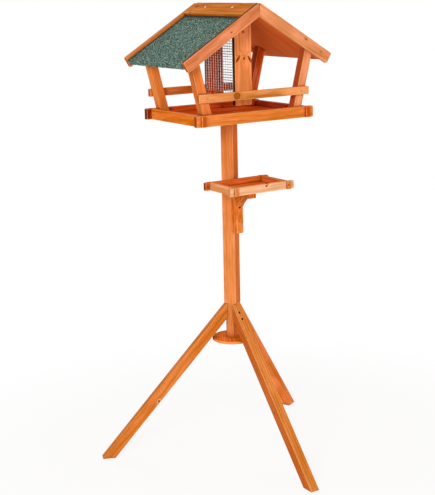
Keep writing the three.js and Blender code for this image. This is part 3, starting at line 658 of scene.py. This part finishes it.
def screwTube(place, outward, screw, length):
    outward = np.array(outward, float) / np.linalg.norm(outward)
    helper = np.array(alongZ if abs(outward[2]) < 0.8 else alongX, float)   # any way but the screw's
    side = np.cross(outward, helper)
    side = side / np.linalg.norm(side)
    up = np.cross(outward, side)
    headRadius, headHeight, topRings = screw["headRadius"], screw["headHeight"], screwLook["topRings"]
    top = np.linspace(screwLook["innermost"], 1, topRings) * headRadius
    radii = np.concatenate([top, [headRadius, screw["shankRadius"], screw["shankRadius"], screwLook["tip"]]])
    depth = np.concatenate([
        np.zeros(topRings), [screwLook["rim"], headHeight, length - screwLook["point"], length]])
    turns = np.linspace(0, 2 * np.pi, screwLook["around"], endpoint=False) + screwLook["slotTurn"]
    x = radii[:, None] * np.cos(turns)
    y = radii[:, None] * np.sin(turns)
    fromArm = np.minimum(abs(x), abs(y)) / headRadius
    inSlot = np.clip((screwLook["slotWidth"] / 2 - fromArm) / screwLook["slotEdge"] + 0.5, 0, 1)
    fade = np.clip((screwLook["slotReach"] - radii / headRadius) / screwLook["slotFade"], 0, 1)[:, None]
    crown = screwLook["crown"] * (1 - (radii / headRadius) ** 2)[:, None]
    isTop = (np.arange(len(radii)) < topRings)[:, None]
    height = np.where(isTop, crown - inSlot * fade * screwLook["slotDepth"] * headHeight, 0) - depth[:, None]
    spot = np.array(place, float)
    return (spot + x[..., None] * side + y[..., None] * up + height[..., None] * outward) * mm


# Screws sunk in the legs and the bracket, in mm: they stand where their plain solids stand.
sunkScrew = {"headRadius": 2.7, "shankRadius": 1.65, "headHeight": 2.3, "deeper": 0.25, "shorter": 0.4}


def sinkScrews():
    facings = {leg: np.array([math.cos(turned), math.sin(turned), 0]) for leg, turned in legTurns.items()}
    facings["bracket"] = np.array([0, -1.0, 0])
    for carrier, outward in facings.items():
        for level in ("upper", "lower"):
            name = f"{carrier}_screw_{level}"
            vertices = nodes[name].data.vertices
            points = np.empty(3 * len(vertices), np.float32)
            vertices.foreach_get("co", points)
            points = points.reshape(-1, 3).astype(float) / mm
            along = points @ outward
            head = points[along > along.max() - 0.01].mean(0)   # the middle of the flat top
            length = along.max() - along.min() - sunkScrew["shorter"]
            tube = screwTube(head - sunkScrew["deeper"] * outward, outward, sunkScrew, length)
            # the other sunk heads are painted almost black as shade in their holes
            metal = hazyMetal if name == "bracket_screw_lower" else shadedScrewMetal
            piece = tubeMesh("cross_" + name, tube[None], metal, "stand_and_house")
            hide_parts(name)


sinkScrews()

# Screws that show on ridge boards and rails, in mm from the middle of the house and the ground
boardScrew = {
    "headRadius": 2.6, "shankRadius": 1.5, "headHeight": 2.2, "proud": 0.9,
    "ridgeTop": 1120, "ridgeAlong": (62.3, -54.4), "ridgeDown": 23.0, "ridgeLength": 7,
    "railOut": 133.4, "railHeight": 909.5, "railLength": 7.5,
}


def showScrews():
    midX, midY = postMiddle[0] / mm, postMiddle[1] / mm
    proud = boardScrew["proud"]
    hazy, fixed, moving = [], [], []
    for y in boardScrew["ridgeAlong"]:
        for sign, group in ((-1, fixed), (1, moving)):
            outward, down = np.array(offRoof(sign)), np.array(downRoof(sign))
            ridge = np.array([midX, midY + y, boardScrew["ridgeTop"]])
            spot = ridge + down * boardScrew["ridgeDown"] + outward * proud
            group.append(screwTube(spot, outward, boardScrew, boardScrew["ridgeLength"]))
    for face, way in ((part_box("rail_front")[0].y / mm, -1), (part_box("rail_rear")[1].y / mm, 1)):
        for sign in (-1, 1):
            spot = (midX + sign * boardScrew["railOut"], face + way * proud, boardScrew["railHeight"])
            hazy.append(screwTube(spot, (0, way, 0), boardScrew, boardScrew["railLength"]))
    tubeMesh("board_screws", np.stack(hazy + fixed), screwMetal, "stand_and_house",
             hazyMetal, len(hazy))
    tubeMesh("lid_board_screws", np.stack(moving), screwMetal, "lid")


showScrews()
print("screws: eight sunk ones and eight on the boards")


# The viewpoint that puts the object's edges where they are in the picture, in mm and degrees
cameraPlace = {
    "azimuth": 33.697, "distance": 2768.69, "height": 1167.06,
    "yaw": 0.708, "pitch": 13.079, "roll": -1.300, "lens": 83.15, "sensor": 36,
}


def makeCamera():
    turned = math.radians(cameraPlace["azimuth"])
    heading = turned - math.radians(cameraPlace["yaw"])
    pitch, roll = math.radians(cameraPlace["pitch"]), math.radians(cameraPlace["roll"])
    forward = Vector((math.sin(heading) * math.cos(pitch), math.cos(heading) * math.cos(pitch),
                      -math.sin(pitch)))
    level = Vector((math.cos(heading), -math.sin(heading), 0))
    up = level.cross(forward)
    right = level * math.cos(roll) + up * math.sin(roll)
    top = -level * math.sin(roll) + up * math.cos(roll)
    data = bpy.data.cameras.new("camera")
    data.sensor_fit = "AUTO"
    data.sensor_width = cameraPlace["sensor"]
    data.lens = cameraPlace["lens"]
    camera = bpy.data.objects.new("camera", data)
    bpy.context.scene.collection.objects.link(camera)
    away = cameraPlace["distance"] * mm
    place = Vector((postMiddle[0] - away * math.sin(turned), postMiddle[1] - away * math.cos(turned),
                    cameraPlace["height"] * mm))
    camera.matrix_world = Matrix.Translation(place) @ Matrix((right, top, -forward)).transposed().to_4x4()
    bpy.context.scene.camera = camera


# Places and sizes in metres, powers in watts
studio = {
    "sky": "#fff9f2", "skyStrength": 0.42,
    "lamps": {
        "key": {"place": (-2.9, -2.4, 1.9), "size": 1.3, "power": 84, "colour": "#fffaf2"},
        "fill": {"place": (1.4, -2.8, 0.9), "size": 2.2, "power": 24, "colour": "#fff6ee"},
        "back": {"place": (0.8, 2.8, 2.4), "size": 1.8, "power": 20, "colour": "#ffffff"},
    },
    "aimHeight": 0.7,
    "floor": "#ffffff", "floorHalf": 12.0, "floorHeight": -0.0004,
    # The camera sees this share of plain white out to shadowReach, and nothing else past whiteFrom
    "floorGlow": 0.88, "shadowReach": 0.45, "whiteFrom": 1.1,
}
white = (1, 1, 1, 1)


# 1 for camera rays and the other kinds named, which see plain white, and 0 for all others.
def whiteRays(tree, *kinds):
    rays = addNode(tree, "ShaderNodeLightPath")
    seen = rays.outputs["Is Camera Ray"]
    for kind in kinds:
        either = addNode(tree, "ShaderNodeMath", {0: seen, 1: rays.outputs[kind]}, operation="MAXIMUM")
        seen = either.outputs[0]
    return seen


# Camera, mirror and glass rays see plain white; all other rays see the soft sky light.
def makeSky():
    world = bpy.data.worlds.new("paleStudio")
    bpy.context.scene.world = world
    world.use_nodes = True
    tree = world.node_tree
    tree.nodes.clear()
    seen = whiteRays(tree, "Is Glossy Ray", "Is Transmission Ray")
    soft = addNode(tree, "ShaderNodeBackground", {
        "Color": hexColour(studio["sky"]), "Strength": studio["skyStrength"]})
    plain = addNode(tree, "ShaderNodeBackground", {"Color": white, "Strength": 1.0})
    blend = addNode(tree, "ShaderNodeMixShader", {0: seen, 1: soft.outputs[0], 2: plain.outputs[0]})
    addNode(tree, "ShaderNodeOutputWorld", {"Surface": blend.outputs[0]})


def makeLamps():
    for name, lamp in studio["lamps"].items():
        data = bpy.data.lights.new(name, "AREA")
        data.shape = "DISK"
        data.size = lamp["size"]
        data.energy = lamp["power"]
        data.color = hexColour(lamp["colour"])[:3]
        light = bpy.data.objects.new(name, data)
        bpy.context.scene.collection.objects.link(light)
        light.location = lamp["place"]
        aim = Vector((postMiddle[0], postMiddle[1], studio["aimHeight"])) - Vector(lamp["place"])
        light.rotation_euler = aim.to_track_quat("-Z", "Y").to_euler()


# Matt painted floor: white to the camera, with the object's shadow kept in it near the feet.
def makeFloor():
    half, height = studio["floorHalf"], studio["floorHeight"]
    corners = [(-half, -half, height), (half, -half, height), (half, half, height), (-half, half, height)]
    mesh = bpy.data.meshes.new("floor")
    mesh.from_pydata(corners, [], [(0, 1, 2, 3)])
    floor = bpy.data.objects.new("floor", mesh)
    bpy.context.scene.collection.objects.link(floor)
    material, tree = newMaterial("paleFloor")
    coords = addNode(tree, "ShaderNodeTexCoord")
    away = addNode(tree, "ShaderNodeVectorMath", {0: coords.outputs["Object"]}, operation="LENGTH")
    glowing = addNode(tree, "ShaderNodeMapRange", {
        "Value": away.outputs["Value"], "From Min": studio["shadowReach"], "From Max": studio["whiteFrom"],
        "To Min": studio["floorGlow"], "To Max": 1.0}, interpolation_type="SMOOTHSTEP")
    share = addNode(tree, "ShaderNodeMath", {
        0: whiteRays(tree, "Is Glossy Ray"), 1: glowing.outputs[0]}, operation="MULTIPLY")
    matt = addNode(tree, "ShaderNodeBsdfDiffuse", {"Color": hexColour(studio["floor"])})
    glow = addNode(tree, "ShaderNodeEmission", {"Color": white, "Strength": 1.0})
    mixed = addNode(tree, "ShaderNodeMixShader", {
        0: share.outputs[0], 1: matt.outputs[0], 2: glow.outputs[0]})
    finishMaterial(tree, mixed)
    setMaterial(floor, material)


makeCamera()
makeSky()
makeLamps()
makeFloor()
bpy.context.scene.view_settings.view_transform = "Standard"
print("camera, lamps and floor")
